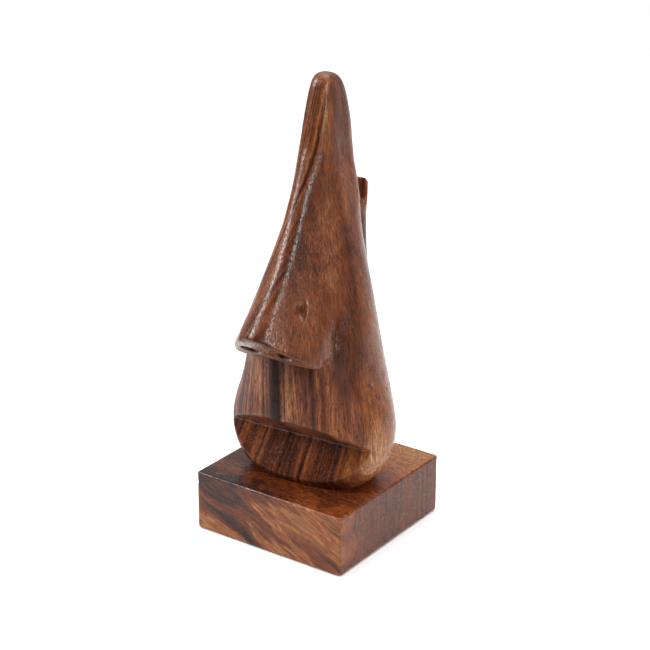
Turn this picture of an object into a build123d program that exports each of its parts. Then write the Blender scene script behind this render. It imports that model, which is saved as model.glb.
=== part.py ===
from build123d import *
import os
from math import copysign, cos, radians, sin, pi

# Eyeglasses display stand: a carved wooden head with a big nose on a square block.
# Millimetres. Origin in the middle of the block's underside, +Z up, the nose to -Y.
# The head sits a few degrees turned on its block, the way one centre screw lets it.

# Block
base_side = 60.0
base_height = 21.6
base_top_round = 0.5
base_bottom_round = 1.2
base_corner_round = 0.9

# Head
head_turn = 5.0

# Oval body of the head, rounded foot to crown:
# height, half width, front y, back y, squareness
body_sections = [
    (21.6, 21.6, -17.4, 9.4, 2.6),
    (24.0, 23.8, -18.6, 10.4, 2.5),
    (27.0, 26.2, -20.0, 11.9, 2.5),
    (30.0, 27.8, -21.0, 13.3, 2.4),
    (34.0, 29.0, -22.2, 14.9, 2.3),
    (40.0, 29.3, -23.6, 16.9, 2.2),
    (48.0, 27.7, -24.6, 18.8, 2.1),
    (60.0, 24.0, -24.8, 19.7, 2.1),
    (72.0, 21.4, -23.9, 18.4, 2.1),
    (86.0, 17.9, -20.0, 16.6, 2.2),
    (100.0, 14.0, -15.4, 15.2, 2.3),
    (112.0, 10.8, -11.6, 14.4, 2.8),
    (124.0, 8.0, -9.1, 14.2, 3.7),
    (136.0, 5.7, -8.2, 13.9, 4.2),
    (146.0, 4.8, -5.7, 12.6, 4.2),
    (153.0, 4.2, -3.4, 10.4, 3.8),
    (157.2, 3.5, -1.6, 7.6, 3.0),
    (158.8, 1.9, 0.3, 4.4, 2.4),
]

# Nose, from the bridge down to below the nostrils:
# height, ridge half width, ridge y, flank half width, flank y, root half width, root y
nose_sections = [
    (140.0, 3.0, -6.0, 3.2, -4.0, 4.4, 2.0),
    (132.0, 3.5, -10.4, 3.8, -7.0, 5.2, 0.0),
    (122.0, 3.4, -15.4, 4.4, -11.0, 7.0, -3.5),
    (112.0, 3.2, -21.0, 5.0, -16.0, 9.4, -5.5),
    (102.0, 3.3, -28.0, 5.8, -22.5, 12.4, -7.0),
    (92.0, 3.3, -36.2, 7.2, -28.5, 15.0, -9.0),
    (82.0, 3.7, -44.1, 9.8, -33.0, 15.4, -13.0),
    (72.0, 4.3, -50.0, 13.0, -34.0, 15.8, -14.0),
    (62.0, 5.0, -55.0, 15.2, -32.0, 16.6, -14.0),
]
ridge_crown = 0.5

# Underside of the nose, side view (y, z): falls from the tip, then lifts behind the wings
nose_tip = (-44.4, 82.6)
under_bend = (-30.0, 71.4)
under_low = (-26.0, 68.8)
wing_back = (-17.5, 73.5)
nostril_place = (5.8, -34.2, 74.6)
nostril_radius = 3.2

# Where the back of each wing runs down into the cheek
wing_root_place = (12.0, -18.4, 66.5)
wing_root_radius = 4.8
wing_root_height = 12.0
wing_root_tip = 1.2

# Rear hook for a temple: height, half width, back y, squareness
hook_sections = [
    (72.0, 13.4, 16.6, 2.8),
    (90.0, 11.2, 17.8, 3.2),
    (101.0, 8.8, 19.6, 3.8),
    (111.0, 7.0, 22.0, 4.6),
    (121.5, 6.0, 24.0, 5.4),
]
hook_front = 2.0
hook_top_front = 120.6
hook_top_back = 116.6
slot_front = 13.4
slot_back = 19.6
slot_floor = 112.0
slot_round = 2.2

# Mouth notch, side view (y, z)
lip_edge = (-24.3, 47.0)
mouth_root = (-12.5, 38.0)
chin_edge = (-18.0, 25.3)
mouth_reach = 32.0

# Groove between nose and upper lip
lip_front = -24.7
groove_side = -0.9
groove_radius = 2.6
groove_depth = 1.9
groove_bottom = 40.0
groove_top = 72.0

# Screw driven up through the block into the head
screw_seat = 4.0
screw_length = 42.0
screw_head_radius = 4.4
screw_head_height = 2.6
screw_shank_radius = 2.2
screw_core_radius = 1.6
thread_pitch = 2.4
thread_count = 10
screw_tip_length = 5.0
recess_span = 4.6
recess_width = 1.0
recess_depth = 1.6
counterbore_radius = 5.2
screw_clearance = 0.1

screw_end = screw_seat + screw_length
hole_radius = screw_shank_radius + screw_clearance

os.makedirs("parts", exist_ok=True)

turn = radians(head_turn)
head_plan = Plane(origin=(0, 0, 0), x_dir=(cos(turn), sin(turn), 0), z_dir=(0, 0, 1))
head_side = Plane(
    origin=(0, 0, 0),
    x_dir=(-sin(turn), cos(turn), 0),
    z_dir=(cos(turn), sin(turn), 0),
)


def oval_points(half_width, front, back, squareness, count=24):
    """Points of a rounded oval: squareness 2 is an ellipse, 4 nearly a rectangle."""
    middle = (front + back) / 2
    reach = (back - front) / 2
    points = []
    for step in range(count):
        angle = 2 * pi * step / count
        x = half_width * copysign(abs(cos(angle)) ** (2 / squareness), cos(angle))
        y = reach * copysign(abs(sin(angle)) ** (2 / squareness), sin(angle))
        points.append((x, middle + y))
    return points


# Body: the oval sections joined smoothly
with BuildPart() as body:
    for height, half_width, front, back, squareness in body_sections:
        with BuildSketch(head_plan.offset(height)):
            with BuildLine():
                Spline(*oval_points(half_width, front, back, squareness), periodic=True)
            make_face()
    loft()

# Nose: a narrow crowned ridge with flanks that flare into the wings
with BuildPart() as nose:
    for height, ridge, ridge_y, flank, flank_y, root, root_y in nose_sections:
        with BuildSketch(head_plan.offset(height)):
            with BuildLine():
                ThreePointArc((-ridge, ridge_y), (0, ridge_y - ridge_crown), (ridge, ridge_y))
                Spline((ridge, ridge_y), (flank, flank_y), (root, root_y))
                Line((root, root_y), (-root, root_y))
                Spline((-root, root_y), (-flank, flank_y), (-ridge, ridge_y))
            make_face()
    loft()

# Nose underside: everything below the line from the tip to the face is removed
tip_slope = (under_bend[1] - nose_tip[1]) / (under_bend[0] - nose_tip[0])
wing_slope = (wing_back[1] - under_low[1]) / (wing_back[0] - under_low[0])
with BuildPart(mode=Mode.PRIVATE) as under_nose:
    with BuildSketch(head_side):
        with BuildLine():
            Polyline(
                (nose_tip[0] - 16, nose_tip[1] - 16 * tip_slope),
                under_bend,
                under_low,
                (wing_back[0] + 6, wing_back[1] + 6 * wing_slope),
                (wing_back[0] + 6, wing_back[1] - 30),
                (nose_tip[0] - 16, wing_back[1] - 30),
                close=True,
            )
        make_face()
    extrude(amount=mouth_reach, both=True)
cut_nose = nose.part - under_nose.part

# Hook: a horn behind the body, its top slanting down to the back
with BuildPart() as hook:
    for height, half_width, back, squareness in hook_sections:
        with BuildSketch(head_plan.offset(height)):
            with BuildLine():
                Spline(*oval_points(half_width, hook_front, back, squareness), periodic=True)
            make_face()
    loft()

# Slot between the post and the horn, with a rounded floor, and the slanted top
slot_height = hook_top_front + 6 - slot_floor
with BuildPart(mode=Mode.PRIVATE) as slot:
    with BuildSketch(head_side):
        with Locations(((slot_front + slot_back) / 2, slot_floor + slot_height / 2)):
            RectangleRounded(slot_back - slot_front, slot_height, slot_round)
        with Locations(((slot_front + hook_front) / 2 - 1, slot_floor + slot_height / 2 + 2)):
            Rectangle(slot_front - hook_front + 6, slot_height)
    extrude(amount=mouth_reach, both=True)
with BuildPart(mode=Mode.PRIVATE) as hook_top:
    with BuildSketch(head_side):
        with BuildLine():
            Polyline(
                (slot_front, hook_top_front + 1),
                (slot_back, hook_top_front),
                (hook_sections[-1][2] + 2, hook_top_back - 1.5),
                (hook_sections[-1][2] + 2, hook_top_front + 8),
                (slot_front, hook_top_front + 8),
                close=True,
            )
        make_face()
    extrude(amount=mouth_reach, both=True)
cut_hook = hook.part - slot.part - hook_top.part

# Mouth: a wedge whose two flat faces meet in a straight line across the head
lip_run = (lip_edge[1] - mouth_root[1]) / (lip_edge[0] - mouth_root[0])
chin_run = (chin_edge[0] - mouth_root[0]) / (chin_edge[1] - mouth_root[1])
mouth_front = lip_edge[0] - 12
with BuildPart(mode=Mode.PRIVATE) as mouth:
    with BuildSketch(head_side):
        with BuildLine():
            Polyline(
                mouth_root,
                (mouth_front, mouth_root[1] + lip_run * (mouth_front - mouth_root[0])),
                (mouth_front, base_height - 2),
                (mouth_root[0] + chin_run * (base_height - 2 - mouth_root[1]), base_height - 2),
                close=True,
            )
        make_face()
    extrude(amount=mouth_reach, both=True)

# Head: body, nose and hook in one piece of wood, with its cuts and the screw hole
groove_y = lip_front + groove_depth - groove_radius
groove_middle = head_side.from_local_coords((groove_y, (groove_bottom + groove_top) / 2, groove_side))
with BuildPart() as nose_head:
    add(body.part)
    add(cut_nose)
    add(cut_hook)
    for side in (-1, 1):
        wing_root = (side * wing_root_place[0], wing_root_place[1], wing_root_place[2])
        with Locations(head_plan.from_local_coords(wing_root)):
            Cone(wing_root_tip, wing_root_radius, wing_root_height)
    add(mouth.part, mode=Mode.SUBTRACT)
    with Locations(groove_middle):
        Cylinder(groove_radius, groove_top - groove_bottom, mode=Mode.SUBTRACT)
    for side in (-1, 1):
        nostril = (side * nostril_place[0], nostril_place[1], nostril_place[2])
        with Locations(head_plan.from_local_coords(nostril)):
            Sphere(nostril_radius, mode=Mode.SUBTRACT)
    with BuildSketch(Plane.XY.offset(base_height)):
        Circle(hole_radius)
    extrude(amount=screw_end + 0.5 - base_height, mode=Mode.SUBTRACT)

# Block: square, crisp top edges, softer bottom edges, stepped hole for the screw
with BuildPart() as base_block:
    with BuildSketch():
        RectangleRounded(base_side, base_side, base_corner_round)
    extrude(amount=base_height)
    fillet(base_block.faces().sort_by(Axis.Z)[-1].edges(), base_top_round)
    fillet(base_block.faces().sort_by(Axis.Z)[0].edges(), base_bottom_round)
    with BuildSketch():
        Circle(counterbore_radius)
    extrude(amount=screw_seat, mode=Mode.SUBTRACT)
    with BuildSketch(Plane.XZ):
        with BuildLine():
            Polyline(
                (0, screw_seat - 0.5),
                (screw_head_radius, screw_seat - 0.5),
                (screw_head_radius, screw_seat),
                (hole_radius, screw_seat + screw_head_height),
                (hole_radius, base_height + 1),
                (0, base_height + 1),
                close=True,
            )
        make_face()
    revolve(axis=Axis.Z, mode=Mode.SUBTRACT)

# Screw: countersunk head, plain shank, ringed thread and a point
thread_start = screw_end - screw_tip_length - thread_count * thread_pitch
with BuildPart() as base_screw:
    with BuildSketch(Plane.XZ):
        with BuildLine():
            outline = [
                (0, screw_seat),
                (screw_head_radius, screw_seat),
                (screw_shank_radius, screw_seat + screw_head_height),
                (screw_shank_radius, thread_start),
                (screw_core_radius, thread_start + 0.6),
            ]
            for ring in range(thread_count):
                bottom = thread_start + 0.6 + ring * thread_pitch
                outline.append((screw_core_radius, bottom + thread_pitch * 0.4))
                outline.append((screw_shank_radius, bottom + thread_pitch * 0.65))
                outline.append((screw_core_radius, bottom + thread_pitch * 0.9))
            outline.append((0, screw_end))
            Polyline(*outline, close=True)
        make_face()
    revolve(axis=Axis.Z)
    with Locations((0, 0, screw_seat + recess_depth / 2)):
        Box(recess_span, recess_width, recess_depth, mode=Mode.SUBTRACT)
        Box(recess_width, recess_span, recess_depth, mode=Mode.SUBTRACT)

nose_head.part.label = "nose_head"
base_block.part.label = "base_block"
base_screw.part.label = "base_screw"
export_step(nose_head.part, "parts/nose_head.step")
export_step(base_block.part, "parts/base_block.step")
export_step(base_screw.part, "parts/base_screw.step")
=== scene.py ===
import math

import bpy
import numpy as np
from mathutils import Matrix, Vector


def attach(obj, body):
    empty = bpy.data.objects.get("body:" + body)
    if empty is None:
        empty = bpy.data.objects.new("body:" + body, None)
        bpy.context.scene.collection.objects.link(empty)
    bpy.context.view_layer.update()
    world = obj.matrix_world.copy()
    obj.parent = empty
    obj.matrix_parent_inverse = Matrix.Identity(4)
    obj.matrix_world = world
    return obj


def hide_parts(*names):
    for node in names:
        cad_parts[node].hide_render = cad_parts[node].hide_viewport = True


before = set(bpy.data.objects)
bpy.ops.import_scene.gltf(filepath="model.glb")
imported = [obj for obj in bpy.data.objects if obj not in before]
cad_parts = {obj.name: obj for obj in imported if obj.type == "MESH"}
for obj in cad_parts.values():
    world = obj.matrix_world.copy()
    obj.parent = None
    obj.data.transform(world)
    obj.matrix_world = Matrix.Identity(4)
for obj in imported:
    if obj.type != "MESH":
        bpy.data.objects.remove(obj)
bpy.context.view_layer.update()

# Eyeglasses display stand: a carved rosewood head on a square rosewood block.
# The shaping below works in millimetres, in the head's own frame: x to its left, -y the nose, z up.
# A pair named comes, goes, forward or sideways holds where a change starts and where it is complete.
mm_per_metre = 1000

# Camera: lens and sensor in millimetres, place and far limit in metres, angles in degrees
lens = 99.3
sensor_width = 36
far_limit = 20
camera_place = (0.32285, -0.45711, 0.29449)
camera_azimuth = 35.05
camera_elevation = 21.6
camera_roll = 0.45

# Studio, in metres and watts. What the wood mirrors darkens towards the side the camera stands on:
# each level belongs to how far a direction turns to that side, from 0 away to 1 towards.
studio_dark_side = (0.30, -0.95, -0.10)
studio_levels = [(0.0, 0.8), (0.25, 0.38), (0.5, 0.2), (0.72, 0.05)]
light_aim = (0, 0, 0.08)
# Name, place, size and power
softboxes = [
    ("top_softbox", (0.05, 0.15, 1.1), (1.0, 1.0), 14),
    ("left_softbox", (-0.75, -0.65, 0.75), (0.24, 0.5), 13),
    ("right_softbox", (0.95, -0.2, 0.5), (0.12, 0.45), 6),
]
floor_side = 0.86
floor_front = 0.13
floor_white = 0.98
floor_roughness = 0.8
floor_specular = 0.2

# Head: degrees it is turned on the block, its lowest and highest z, and how finely it is re-meshed
head_turn = 5.0
head_foot = 21.6
head_crown = 158.75
head_voxel = 0.52
edge_smoothing = 3
smooth_share = 0.5

# Two arrises down the nose, named as a viewer facing it sees them: the left one drifts across
# as it rises, the right one stays, and the wood falls away to the left of the left one. All this
# reaches ridge_depth behind the line of the nose's front and fades out over ridge_fade.
ridge_foot = 84.0
left_arris = 0.4
left_arris_drift = 0.085
right_arris = 3.9
ridge_hollow = 0.45
ridge_fall = 0.4
nose_front = -43.0
nose_slope = 0.77
ridge_depth = 1.5
ridge_fade = 2.0
ridge_comes = (79, 84)
ridge_goes = (96, 124)
ridge_smoothing = 70
smoothing_comes = (79, 88)
smoothing_forward = (2, 6)

# Where the nose melts into the cheek, the wing's back corner and the bridge
melt_steps = 90
valley_top = (-6.5, 118)
valley_lean = 0.26
valley_half = 5.5
valley_comes = (80, 88)
valley_goes = (118, 130)
valley_sideways = (3.5, 5.5)
corner_middle = (14.5, -18.5, 68.0)
corner_half = (5.5, 5.5, 8.0)
bridge_height = 129.0
bridge_half = 9.0
bridge_forward = (2, 5)

# Pit above each nostril wing, and the line behind the wing, both in side view (y, z).
# The pit's middle and half length are shares of the line from its top to its foot.
pit_top = (-24.0, 93.0)
pit_foot = (-28.6, 85.5)
pit_middle = 0.62
pit_length = 0.3
pit_front = 2.6
pit_back = 0.7
pit_depth = 2.0
wing_outline = [(-17.5, 90), (-15.8, 84), (-15.9, 79.5), (-17.1, 75.5), (-18.9, 71), (-22, 67.5)]
wing_line_depth = 0.42
wing_line_half = 1.2
wing_bulge = 0.5
wing_middle = (-22.5, 78.0)
wing_half = (4.5, 6.0)
wing_sideways = (4, 6)
wing_facing = (0.2, 0.2 + 1 / 3)

# Hand-worked unevenness: height, distance between lumps, seed. It comes in over foot_calm
# above the foot. Lumps repeat after lump_grid distances.
head_lumps = [(0.12, 9, 1), (0.05, 3.5, 2)]
foot_calm = 4
lump_grid = 32
lump_shift = 7.3

# Block: a shallow wave (depth, distance, seed), and nicks along the edges (depth, distance, seed,
# and how much of the edge stays whole). A normal under flat_normal along every axis is an edge.
block_voxel = 0.4
block_smoothing = 1
block_wave = (0.05, 11, 7)
block_nicks = [(0.7, 2.3, 5, 0.35), (0.4, 6.5, 6, 0.3)]
flat_normal = 0.97
edge_fade = 0.1
whole_foot = 0.6

# Wood textures drawn out along the grain: size across, size along, detail, roughness
fibre_texture = (0.55, 8, 2.0, 0.6)
strand_texture = (1.2, 16, 3.0, 0.65)
pore_texture = (0.5, 1.8, 1.0, 0.5)
zone_texture = (13, 45, 3.0, 0.5)
mottle_texture = (2.2, 5, 3.0, 0.6)
relief_texture = (0.7, 1.1, 2.0, 0.6)

# Fibres, strands and pores: contrast or strength, then the stops of the ramp they go through
fibre_contrast = 0.75
fibre_stops = [(0.32, 0.18), (0.68, 0.82)]
strand_contrast = 0.5
strand_stops = [(0.3, 0.22), (0.7, 0.78)]
pore_strength = 0.6
pore_stops = [(0.56, 0.0), (0.67, 1.0)]
pore_tint = (0.2, 0.12, 0.1, 1)

# Painted shade that darkens the hollows, and paler wear on the edges
hollow_shade_strength = 0.75
hollow_shade_stops = [(0.42, 1.0), (0.49, 0.0)]
hollow_shade_tint = (0.25, 0.18, 0.15, 1)
worn_stops = [(0.53, 0.0), (0.62, 0.5)]
worn_tint = (0.16, 0.08, 0.05, 1)

# Lacquer: roughness of each piece and what is added to it, and the relief of the surface in metres
head_gloss = 0.13
block_gloss = 0.16
lip_matt = 0.3
mouth_matt = 0.04
pore_matt = 0.15
uneven_matt = 0.18
uneven_scale = 0.12
uneven_detail = 3.0
lacquer_specular = 0.3
bump_height = 0.0003
bump_strength = 0.3
pore_relief = -0.5
fibre_relief = 0.3
grainy_relief = 0.9

# Head wood: grain that draws together towards a point above the crown, wandering on its way,
# and rings about a distant pith that show on the faces cut square to the nose.
# What is named detail below is a noise's detail and roughness.
grain_apex = 250
grain_reach = 210
grain_narrowest = 0.4
head_wander = ((26, 26, 90), 6)
head_pith = (-124, 30, 0)
wide_ring = 6.5
wide_detail = (3.0, 0.6)
thin_ring = 1.5
thin_detail = (2.0, 0.6)
thin_share = 0.65
striped_stops = [(0.35, 0.2), (0.85, 1.0)]
zone_shift = (57, -23, 40)
zone_share = 0.9

# Paler wood at the outside of the head: per millimetre sideways and upwards, and at the middle
outer_sideways = 0.025
outer_upwards = -0.009
outer_start = 0.25
outer_stops = [(0.2, 0.0), (0.65, 1.0)]
outer_share = 0.16
head_tone = 0.05

# Lip and mouth: the mouth's upper edge in side view, and the lip's top in tenths of a metre
mouth_slope = -0.763
mouth_level = 28.8
mouth_stops = [(0.0, 0.0), (0.6, 1.0)]
forward_stops = [(0.4, 0.0), (0.6, 1.0)]
lip_top_stops = [(0.70, 1.0), (0.74, 0.0)]
# Painted shade: this tint darkens and reddens the mouth and chin under the lip's overhang.
mouth_shade_tint = (0.74, 0.60, 0.44, 1)
# Streaks on the lip: middle, half width and how much darker
lip_streaks = [(-3.0, 2.4, 0.4), (10.5, 4.0, -0.08)]
streak_stops = [(0.3, 1.0), (1.0, 0.0)]
head_colours = [
    (0.20, (0.028, 0.008, 0.003)),
    (0.38, (0.094, 0.024, 0.008)),
    (0.50, (0.162, 0.046, 0.015)),
    (0.62, (0.230, 0.076, 0.027)),
    (0.80, (0.350, 0.158, 0.066)),
]

# Block wood: the grain's direction, the rings cut flat on the front, the fine lines of the sides
block_side = 60.0
block_grain = (0.91, 0, -0.415)
block_wander = ((16, 16, 16), 7)
cut_size = (10, 28, 55)
cut_detail = (3.5, 0.5)
front_stops = [(0.72, 0.22), (0.98, 1.0)]
ring_bend = 3.4
ring_spacing = 30.0
ring_start = -2.75
ring_detail = (2.0, 0.5)
ring_share = 1.9
lines_per_mm = 0.5
lines_per_ring = 5.0
line_detail = (2.0, 0.6)
line_share = 0.45
mottle_share = 0.25
# How the tone drifts over the whole block, and a painted sheen and reflection over its top: lighter
# towards the back and right, darker at the front where the head is mirrored
side_drift = (-0.0008, 0, 0)
side_tone = 0.075
top_sheen_stops = [(0.6, 0.0), (0.95, 1.0)]
top_sheen_drift = (0.003, 0.012, 0)
top_sheen_tone = 0.09
block_colours = [
    (0.24, (0.026, 0.007, 0.004)),
    (0.38, (0.082, 0.019, 0.006)),
    (0.50, (0.148, 0.034, 0.007)),
    (0.66, (0.205, 0.058, 0.013)),
    (0.84, (0.290, 0.112, 0.035)),
]

# Screw: speckled zinc on steel
zinc_specks = 1800
zinc_detail = 3.0
zinc_stops = [(0.35, (0.42, 0.40, 0.35)), (0.65, (0.62, 0.60, 0.54))]
zinc_roughness = 0.25

# Which sockets of a mix node hold its two colours and their mixture
mix_first = 6
mix_second = 7
mix_result = 2


# ---------------------------------------------------------------- camera, light and floor

def make_camera():
    data = bpy.data.cameras.new("camera")
    data.sensor_width = sensor_width
    data.lens = lens
    data.clip_end = far_limit
    camera = bpy.data.objects.new("camera", data)
    turn = Matrix.Rotation(math.radians(camera_azimuth), 4, "Z")
    tilt = Matrix.Rotation(math.radians(90 - camera_elevation), 4, "X")
    roll = Matrix.Rotation(math.radians(camera_roll), 4, "Z")
    camera.matrix_world = Matrix.Translation(camera_place) @ turn @ tilt @ roll
    bpy.context.collection.objects.link(camera)
    bpy.context.scene.camera = camera


def area_light(name, place, size, power):
    data = bpy.data.lights.new(name, "AREA")
    data.shape = "RECTANGLE"
    data.size = size[0]
    data.size_y = size[1]
    data.energy = power
    light = bpy.data.objects.new(name, data)
    light.location = place
    direction = Vector(light_aim) - Vector(place)
    light.rotation_euler = direction.to_track_quat("-Z", "Y").to_euler()
    bpy.context.collection.objects.link(light)


def set_stops(node, stops):
    """The stops of a colour ramp, each with a place and a colour or a grey level."""
    elements = node.color_ramp.elements
    while len(elements) < len(stops):
        elements.new(0.5)
    for element, (place, colour) in zip(elements, stops):
        element.position = place
        element.color = (*colour, 1) if isinstance(colour, tuple) else (colour, colour, colour, 1)


def make_sky():
    """White to the camera; to all else, darker towards the side the camera stands on."""
    world = bpy.data.worlds.new("studio")
    bpy.context.scene.world = world
    world.use_nodes = True
    sky = world.node_tree
    around = sky.nodes.new("ShaderNodeTexCoord").outputs["Generated"]
    facing = sky.nodes.new("ShaderNodeVectorMath")
    facing.operation = "DOT_PRODUCT"
    sky.links.new(around, facing.inputs[0])
    facing.inputs[1].default_value = studio_dark_side
    half = sky.nodes.new("ShaderNodeMath")
    half.operation = "MULTIPLY_ADD"
    sky.links.new(facing.outputs["Value"], half.inputs[0])
    half.inputs[1].default_value = 0.5
    half.inputs[2].default_value = 0.5
    ramp = sky.nodes.new("ShaderNodeValToRGB")
    sky.links.new(half.outputs[0], ramp.inputs["Fac"])
    set_stops(ramp, studio_levels)
    plain = sky.nodes.new("ShaderNodeMix")
    plain.data_type = "RGBA"
    sky.links.new(sky.nodes.new("ShaderNodeLightPath").outputs["Is Camera Ray"], plain.inputs[0])
    sky.links.new(ramp.outputs["Color"], plain.inputs[mix_first])
    plain.inputs[mix_second].default_value = (1, 1, 1, 1)
    sky.links.new(plain.outputs[mix_result], sky.nodes["Background"].inputs["Color"])
    sky.nodes["Background"].inputs["Strength"].default_value = 1.0


def make_floor():
    """A pale plane square to the camera that ends a little ahead of the block."""
    turn = math.radians(camera_azimuth)
    back = floor_side / 2 - floor_front
    middle = (-math.sin(turn) * back, math.cos(turn) * back, 0)
    bpy.ops.mesh.primitive_plane_add(size=floor_side, location=middle, rotation=(0, 0, turn))
    floor = bpy.context.object
    floor.name = "floor"
    material = bpy.data.materials.new("pale_floor")
    material.use_nodes = True
    shader = material.node_tree.nodes["Principled BSDF"]
    shader.inputs["Base Color"].default_value = (floor_white, floor_white, floor_white, 1)
    shader.inputs["Roughness"].default_value = floor_roughness
    shader.inputs["Specular IOR Level"].default_value = floor_specular
    floor.data.materials.append(material)


def make_studio():
    make_sky()
    for name, place, size, power in softboxes:
        area_light(name, place, size, power)
    make_floor()
    bpy.context.scene.view_settings.view_transform = "Standard"


# ---------------------------------------------------------------- mesh tools

def carved_copy(node, name, voxel):
    """A fine even mesh of a CAD node, in millimetres."""
    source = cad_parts[node]
    mesh = source.data.copy()
    mesh.transform(source.matrix_world)
    mesh.transform(Matrix.Scale(mm_per_metre, 4))
    piece = bpy.data.objects.new(name, mesh)
    bpy.context.collection.objects.link(piece)
    remesh = piece.modifiers.new("even", "REMESH")
    remesh.mode = "VOXEL"
    remesh.voxel_size = voxel
    graph = bpy.context.evaluated_depsgraph_get()
    fine = bpy.data.meshes.new_from_object(piece.evaluated_get(graph))
    piece.modifiers.clear()
    piece.data = fine
    piece.data.materials.clear()
    return piece


def read_points(piece):
    points = np.empty(len(piece.data.vertices) * 3)
    piece.data.vertices.foreach_get("co", points)
    return points.reshape(-1, 3)


def write_points(piece, points):
    piece.data.vertices.foreach_set("co", points.ravel())
    piece.data.update()


def neighbours(piece):
    pairs = np.empty(len(piece.data.edges) * 2, dtype=np.int64)
    piece.data.edges.foreach_get("vertices", pairs)
    pairs = pairs.reshape(-1, 2)
    return pairs[:, 0], pairs[:, 1]


def averages(values, first, second):
    """Each vertex's mean over its neighbours."""
    count = len(values)
    share = np.bincount(first, minlength=count) + np.bincount(second, minlength=count)
    mean = np.empty_like(values)
    for axis in range(values.shape[1]):
        total = np.bincount(first, values[second, axis], count)
        total += np.bincount(second, values[first, axis], count)
        mean[:, axis] = total / np.maximum(share, 1)
    return mean


def smooth(points, first, second, steps, amount=1.0):
    """Each vertex moves again and again towards its neighbours' mean, as far as its amount lets it."""
    for step in range(steps):
        mean = averages(points, first, second)
        points = points + (mean - points) * np.reshape(smooth_share * amount, (-1, 1))
    return points


def normals_of(piece):
    normals = np.empty(len(piece.data.vertices) * 3)
    piece.data.vertex_normals.foreach_get("vector", normals)
    return normals.reshape(-1, 3)


def lumps(points, scale, seed):
    """Smooth random values between -1 and 1, about scale millimetres apart."""
    rng = np.random.default_rng(seed)
    grid = rng.uniform(-1, 1, (lump_grid, lump_grid, lump_grid))
    place = points / scale + lump_shift
    base = np.floor(place).astype(int)
    part = place - base
    part = part * part * (3 - 2 * part)
    value = np.zeros(len(points))
    for dx in (0, 1):
        for dy in (0, 1):
            for dz in (0, 1):
                weight = np.where(dx, part[:, 0], 1 - part[:, 0])
                weight = weight * np.where(dy, part[:, 1], 1 - part[:, 1])
                weight = weight * np.where(dz, part[:, 2], 1 - part[:, 2])
                cell = (base + (dx, dy, dz)) % lump_grid
                value += weight * grid[cell[:, 0], cell[:, 1], cell[:, 2]]
    return value


def finish_piece(piece, points, material, node):
    """Back to metres, with its material, in place of the CAD node."""
    write_points(piece, points / mm_per_metre)
    piece.data.polygons.foreach_set("use_smooth", [True] * len(piece.data.polygons))
    piece.data.materials.append(material)
    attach(piece, "root")
    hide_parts(node)


# ---------------------------------------------------------------- wood

class Nodes:
    """Short calls for building a material's nodes."""

    def __init__(self, name):
        self.material = bpy.data.materials.new(name)
        self.material.use_nodes = True
        self.tree = self.material.node_tree
        self.shader = self.tree.nodes["Principled BSDF"]

    def put(self, socket, value):
        if isinstance(value, bpy.types.NodeSocket):
            self.tree.links.new(value, socket)
        else:
            socket.default_value = value

    def add(self, kind, inputs=(), **settings):
        node = self.tree.nodes.new(kind)
        for key, value in settings.items():
            setattr(node, key, value)
        for key, value in dict(inputs).items():
            self.put(node.inputs[key], value)
        return node

    def math(self, operation, a, b=0.0, c=0.0):
        return self.add("ShaderNodeMath", {0: a, 1: b, 2: c}, operation=operation).outputs[0]

    def vector(self, operation, a, b=(0, 0, 0)):
        node = self.add("ShaderNodeVectorMath", {0: a, 1: b}, operation=operation)
        return node.outputs["Value" if operation == "LENGTH" else "Vector"]

    def dot(self, a, b):
        node = self.add("ShaderNodeVectorMath", {0: a, 1: b}, operation="DOT_PRODUCT")
        return node.outputs["Value"]

    def split(self, vector):
        return self.add("ShaderNodeSeparateXYZ", {0: vector}).outputs

    def join(self, x, y, z):
        return self.add("ShaderNodeCombineXYZ", {0: x, 1: y, 2: z}).outputs[0]

    def noise(self, vector, scale, detail=2.0, rough=0.5):
        inputs = {"Vector": vector, "Scale": scale, "Detail": detail, "Roughness": rough}
        return self.add("ShaderNodeTexNoise", inputs).outputs["Fac"]

    def bands(self, w, detail, rough):
        inputs = {"W": w, "Scale": 1.0, "Detail": detail, "Roughness": rough}
        return self.add("ShaderNodeTexNoise", inputs, noise_dimensions="1D").outputs["Fac"]

    def facing(self, axis):
        """How much the surface faces along a world axis, from -1 to 1."""
        return self.split(self.add("ShaderNodeNewGeometry").outputs["Normal"])[axis]

    def add_part(self, total, value, share):
        """The total with a share of the value's distance from a half added."""
        return self.math("MULTIPLY_ADD", self.math("SUBTRACT", value, 0.5), share, total)

    def wander(self, vector, scale, reach):
        """A smooth random sideways shift, up to half the reach each way."""
        inputs = {"Vector": self.vector("DIVIDE", vector, scale), "Scale": 1.0}
        noise = self.add("ShaderNodeTexNoise", inputs)
        shift = self.vector("SUBTRACT", noise.outputs["Color"], (0.5, 0.5, 0.5))
        return self.vector("MULTIPLY", shift, (reach, reach, 0))

    def ramp(self, value, stops):
        node = self.add("ShaderNodeValToRGB", {"Fac": value})
        set_stops(node, stops)
        return node.outputs["Color"]

    def mix(self, kind, factor, a, b):
        node = self.add("ShaderNodeMix", data_type="RGBA", blend_type=kind)
        self.put(node.inputs[0], factor)
        self.put(node.inputs[mix_first], a)
        self.put(node.inputs[mix_second], b)
        return node.outputs[mix_result]


def wood_place(n, turn):
    """The place on the surface in millimetres, in the piece's own frame."""
    place = n.add("ShaderNodeTexCoord").outputs["Object"]
    turned = n.add("ShaderNodeMapping", {"Vector": place, "Rotation": (0, 0, -math.radians(turn))})
    return n.vector("MULTIPLY", turned.outputs[0], (mm_per_metre, mm_per_metre, mm_per_metre))


def drawn_out(n, place, texture):
    """Noise stretched along the grain, which runs along the third axis."""
    across, along, detail, rough = texture
    return n.noise(n.vector("DIVIDE", place, (across, across, along)), 1.0, detail, rough)


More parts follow.
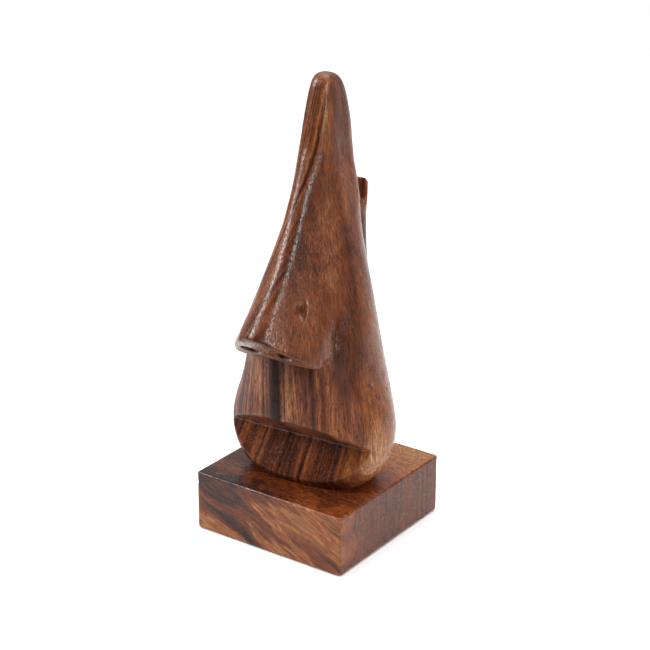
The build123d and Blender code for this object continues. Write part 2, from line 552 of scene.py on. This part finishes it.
def fibres_and_pores(n, flow, colour):
    """Fine fibres, coarser strands and open pores over the wood's colour."""
    fibre = drawn_out(n, flow, fibre_texture)
    colour = n.mix("OVERLAY", fibre_contrast, colour, n.ramp(fibre, fibre_stops))
    strand = drawn_out(n, flow, strand_texture)
    colour = n.mix("OVERLAY", strand_contrast, colour, n.ramp(strand, strand_stops))
    pores = n.ramp(drawn_out(n, flow, pore_texture), pore_stops)
    colour = n.mix("MULTIPLY", n.math("MULTIPLY", pores, pore_strength), colour, pore_tint)
    return colour, fibre, pores


def shaded_and_worn(n, colour):
    """Painted shade in the hollows, paler wear on the worn edges."""
    form = n.add("ShaderNodeNewGeometry").outputs["Pointiness"]
    # Painted shade: the hollows, found by pointiness, are darkened with this tint.
    hollow_shade = n.math("MULTIPLY", n.ramp(form, hollow_shade_stops), hollow_shade_strength)
    colour = n.mix("MULTIPLY", hollow_shade, colour, hollow_shade_tint)
    return n.mix("SCREEN", n.ramp(form, worn_stops), colour, worn_tint)


def lacquered(n, place, colour, gloss, fibre, pores):
    """The finished wood under its uneven satin lacquer."""
    rough = n.math("MULTIPLY_ADD", n.noise(place, uneven_scale, uneven_detail), uneven_matt, gloss)
    rough = n.math("MULTIPLY_ADD", pores, pore_matt, rough)
    relief = n.math("MULTIPLY_ADD", pores, pore_relief, n.math("MULTIPLY", fibre, fibre_relief))
    relief = n.math("MULTIPLY_ADD", drawn_out(n, place, relief_texture), grainy_relief, relief)
    bump = n.add("ShaderNodeBump", {"Height": relief, "Strength": bump_strength, "Distance": bump_height})
    n.put(n.shader.inputs["Base Color"], colour)
    n.put(n.shader.inputs["Roughness"], rough)
    n.put(n.shader.inputs["Normal"], bump.outputs[0])
    n.shader.inputs["Specular IOR Level"].default_value = lacquer_specular
    return n.material


def finished_wood(n, flow, place, colour, gloss):
    colour, fibre, pores = fibres_and_pores(n, flow, colour)
    return lacquered(n, place, shaded_and_worn(n, colour), gloss, fibre, pores)


def head_figure(n, x, z, flow):
    """Tone of the head's wood: rings on the faces cut square to them, patches, a paler outside."""
    across = n.vector("SUBTRACT", flow, head_pith)
    radius = n.vector("LENGTH", n.vector("MULTIPLY", across, (1, 1, 0)))
    wide = n.bands(n.math("DIVIDE", radius, wide_ring), *wide_detail)
    thin = n.bands(n.math("DIVIDE", radius, thin_ring), *thin_detail)
    striped = n.ramp(n.math("ABSOLUTE", n.facing(1)), striped_stops)
    stripes = n.add_part(n.math("SUBTRACT", wide, 0.5), thin, thin_share)
    figure = n.math("MULTIPLY_ADD", stripes, striped, 0.5)
    zone = drawn_out(n, n.vector("ADD", flow, zone_shift), zone_texture)
    figure = n.add_part(figure, zone, zone_share)
    outer = n.math("MULTIPLY_ADD", z, outer_upwards, outer_start)
    outer = n.math("MULTIPLY_ADD", n.math("ABSOLUTE", x), outer_sideways, outer)
    figure = n.math("MULTIPLY_ADD", n.ramp(outer, outer_stops), outer_share, figure)
    return n.math("SUBTRACT", figure, head_tone)


def face_masks(n, y, z):
    """Masks of the lip, between the mouth and the nose, and of the mouth with the chin below it, which
    carries painted shade.
    """
    forward = n.ramp(n.math("MULTIPLY", n.facing(1), -1.0), forward_stops)
    below_lip = n.math("SUBTRACT", n.math("MULTIPLY_ADD", y, mouth_slope, mouth_level), z)
    mouth = n.math("MULTIPLY", n.ramp(below_lip, mouth_stops), forward)
    low = n.ramp(n.math("DIVIDE", z, 100), lip_top_stops)
    lip = n.math("MULTIPLY", n.math("SUBTRACT", forward, mouth), low)
    return lip, mouth


def head_wood():
    """Upright grain that draws together towards the crown."""
    n = Nodes("head_rosewood")
    place = wood_place(n, head_turn)
    x, y, z = n.split(place)
    narrowing = n.math("MULTIPLY_ADD", z, -1 / grain_reach, grain_apex / grain_reach)
    narrowing = n.math("MAXIMUM", narrowing, grain_narrowest)
    flow = n.join(n.math("DIVIDE", x, narrowing), n.math("DIVIDE", y, narrowing), z)
    flow = n.vector("ADD", flow, n.wander(flow, *head_wander))
    figure = head_figure(n, x, z, flow)
    lip, mouth = face_masks(n, y, z)
    for middle, half, dark in lip_streaks:
        near = n.math("ABSOLUTE", n.math("DIVIDE", n.math("SUBTRACT", x, middle), half))
        streak = n.math("MULTIPLY", n.ramp(near, streak_stops), lip)
        figure = n.math("MULTIPLY_ADD", streak, -dark, figure)
    # Painted shade darkens the mouth and chin under the lip's overhang.
    colour = n.mix("MULTIPLY", mouth, n.ramp(figure, head_colours), mouth_shade_tint)
    gloss = n.math("MULTIPLY_ADD", lip, lip_matt, head_gloss)
    gloss = n.math("MULTIPLY_ADD", mouth, mouth_matt, gloss)
    return finished_wood(n, flow, place, colour, gloss)


def block_figure(n, place, y, flow):
    """Tone of the block's wood: flat-cut rings on the front, fine upright lines on the sides, and a
    painted sheen and reflection on the top.
    """
    bent = n.vector("ADD", flow, n.wander(place, *block_wander))
    cut = n.noise(n.vector("DIVIDE", bent, cut_size), 1.0, *cut_detail)
    front = n.ramp(n.math("MULTIPLY_ADD", y, -1 / block_side, 0.5), front_stops)
    ring = n.math("MULTIPLY", n.math("MULTIPLY", n.math("SUBTRACT", cut, 0.5), ring_bend), front)
    ring = n.math("ADD", ring, n.math("MULTIPLY_ADD", y, 1 / ring_spacing, ring_start))
    wide = n.bands(ring, *ring_detail)
    lines = n.math("MULTIPLY", n.math("ADD", y, block_side / 2), lines_per_mm)
    thin = n.bands(n.math("MULTIPLY_ADD", ring, lines_per_ring, lines), *line_detail)
    figure = n.add_part(0.5, wide, n.math("MULTIPLY", front, ring_share))
    figure = n.add_part(figure, thin, line_share)
    figure = n.add_part(figure, drawn_out(n, flow, mottle_texture), mottle_share)
    figure = n.math("ADD", figure, n.math("SUBTRACT", n.dot(place, side_drift), side_tone))
    # Painted light on the top face: a painted sheen lighter towards the back and right, and a painted
    # reflection of the head darker at the front.
    top = n.ramp(n.facing(2), top_sheen_stops)
    return n.math("MULTIPLY_ADD", n.math("ADD", n.dot(place, top_sheen_drift), top_sheen_tone), top, figure)


def block_wood():
    """Grain along a line that falls across the front face."""
    n = Nodes("block_rosewood")
    place = wood_place(n, 0)
    along = n.dot(place, block_grain)
    rise = n.dot(place, (-block_grain[2], 0, block_grain[0]))
    y = n.split(place)[1]
    flow = n.join(rise, y, along)
    colour = n.ramp(block_figure(n, place, y, flow), block_colours)
    return finished_wood(n, flow, place, colour, block_gloss)


# ---------------------------------------------------------------- pieces

def part_between(value, low, high):
    """From 0 at the low end to 1 at the high end."""
    return np.clip((value - low) / (high - low), 0, 1)


def step_between(value, low, high):
    """The same, easing in and out."""
    part = part_between(value, low, high)
    return part * part * (3 - 2 * part)


def bell(value, middle, half):
    """One at the middle, falling smoothly to nothing."""
    return np.exp(-(((value - middle) / half) ** 2))


def spot(values, middles, halves):
    """A bell along several axes at once."""
    height = 1
    for value, middle, half in zip(values, middles, halves):
        height = height * bell(value, middle, half)
    return height


def line_distance(y, z, line):
    """Distance in the side view to a line of corner points."""
    nearest = np.full(len(y), np.inf)
    for (y0, z0), (y1, z1) in zip(line, line[1:]):
        length = (y1 - y0) ** 2 + (z1 - z0) ** 2
        along = np.clip(((y - y0) * (y1 - y0) + (z - z0) * (z1 - z0)) / length, 0, 1)
        nearest = np.minimum(nearest, np.hypot(y - y0 - along * (y1 - y0), z - z0 - along * (z1 - z0)))
    return nearest


def carve_wings(points, normals):
    """The gouged pit above each nostril wing and the soft line behind the wing."""
    x, y, z = np.abs(points[:, 0]), points[:, 1], points[:, 2]
    side = part_between(x, *wing_sideways) * part_between(np.abs(normals[:, 0]), *wing_facing)
    run, rise = pit_foot[0] - pit_top[0], pit_foot[1] - pit_top[1]
    length = math.hypot(run, rise)
    along = ((y - pit_top[0]) * run + (z - pit_top[1]) * rise) / length ** 2
    off = ((y - pit_top[0]) * rise - (z - pit_top[1]) * run) / length
    across = np.where(off > 0, pit_front, pit_back)
    pit = pit_depth * bell(off, 0, across) * bell(along, pit_middle, pit_length)
    line = wing_line_depth * bell(line_distance(y, z, wing_outline), 0, wing_line_half)
    bulge = wing_bulge * spot((y, z), wing_middle, wing_half)
    return side * (bulge - pit - line)


def melt(points, first, second):
    """The nose runs softly into the cheek, the wing's back corner and the bridge."""
    x, y, z = np.abs(points[:, 0]), points[:, 1], points[:, 2]
    tall = step_between(z, *valley_comes) * (1 - step_between(z, *valley_goes))
    root = valley_top[0] - valley_lean * (valley_top[1] - z)
    valley = tall * bell(y, root, valley_half) * step_between(x, *valley_sideways)
    corner = spot((x, y, z), corner_middle, corner_half)
    bridge = bell(z, bridge_height, bridge_half) * step_between(-y, *bridge_forward)
    soft = np.maximum(np.maximum(valley, corner), bridge)
    return smooth(points, first, second, melt_steps, soft)


def shape_ridge(points):
    """Two carved arrises down the nose with a shallow hollow between."""
    x, y, z = points[:, 0], points[:, 1], points[:, 2]
    left = left_arris + (z - ridge_foot) * left_arris_drift
    middle = part_between(x, left, right_arris)
    change = ridge_hollow * np.sin(math.pi * middle)
    change = change + ridge_fall * np.maximum(left - x, 0)
    front_y = nose_front + (z - ridge_foot) * nose_slope
    near = bell(np.maximum(y - front_y - ridge_depth, 0), 0, ridge_fade)
    height = step_between(z, *ridge_comes) * (1 - step_between(z, *ridge_goes))
    points[:, 1] = y + change * near * height
    return points


def make_head():
    """The head, softened as sanding leaves it, with its ridge, wings and hand-worked unevenness."""
    piece = carved_copy("nose_head", "carved_head", head_voxel)
    first, second = neighbours(piece)
    points = read_points(piece)
    spin = math.radians(head_turn)
    to_head = np.array([
        [math.cos(spin), -math.sin(spin), 0],
        [math.sin(spin), math.cos(spin), 0],
        [0, 0, 1],
    ])
    points = smooth(points @ to_head, first, second, edge_smoothing)
    points = shape_ridge(points)
    points = melt(points, first, second)
    soft = step_between(points[:, 2], *smoothing_comes) * step_between(-points[:, 1], *smoothing_forward)
    points = smooth(points, first, second, ridge_smoothing, soft)
    write_points(piece, points)
    normals = normals_of(piece)
    swell = sum(height * lumps(points, distance, seed) for height, distance, seed in head_lumps)
    swell = swell * part_between(points[:, 2], head_foot, head_foot + foot_calm)
    swell = swell + carve_wings(points, normals)
    points = points + normals * swell[:, None]
    points = smooth(points, first, second, 1)
    points[:, 2] = np.clip(points[:, 2], head_foot, head_crown)
    points = points @ to_head.T
    finish_piece(piece, points, head_wood(), "nose_head")


def make_block():
    """The block, with faintly waved faces and small nicks along its edges."""
    piece = carved_copy("base_block", "wood_block", block_voxel)
    first, second = neighbours(piece)
    points = smooth(read_points(piece), first, second, block_smoothing)
    normals = normals_of(piece)
    edge = step_between(flat_normal - np.abs(normals).max(axis=1), 0, edge_fade)
    depth, distance, seed = block_wave
    inward = depth * np.maximum(lumps(points, distance, seed), 0)
    for depth, distance, seed, whole in block_nicks:
        inward = inward + edge * depth * np.maximum(lumps(points, distance, seed) - whole, 0)
    above_foot = points[:, 2] > whole_foot
    points = points - normals * (inward * above_foot)[:, None]
    finish_piece(piece, points, block_wood(), "base_block")


def make_screw():
    """The screw keeps its CAD mesh and gets a zinc material."""
    n = Nodes("zinc_steel")
    place = n.add("ShaderNodeTexCoord").outputs["Object"]
    speck = n.noise(place, zinc_specks, zinc_detail)
    n.put(n.shader.inputs["Base Color"], n.ramp(speck, zinc_stops))
    n.shader.inputs["Metallic"].default_value = 1.0
    n.put(n.shader.inputs["Roughness"], n.math("MULTIPLY_ADD", speck, zinc_roughness, zinc_roughness))
    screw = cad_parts["base_screw"]
    screw.data.materials.clear()
    screw.data.materials.append(n.material)


make_camera()
make_studio()
make_head()
make_block()
make_screw()
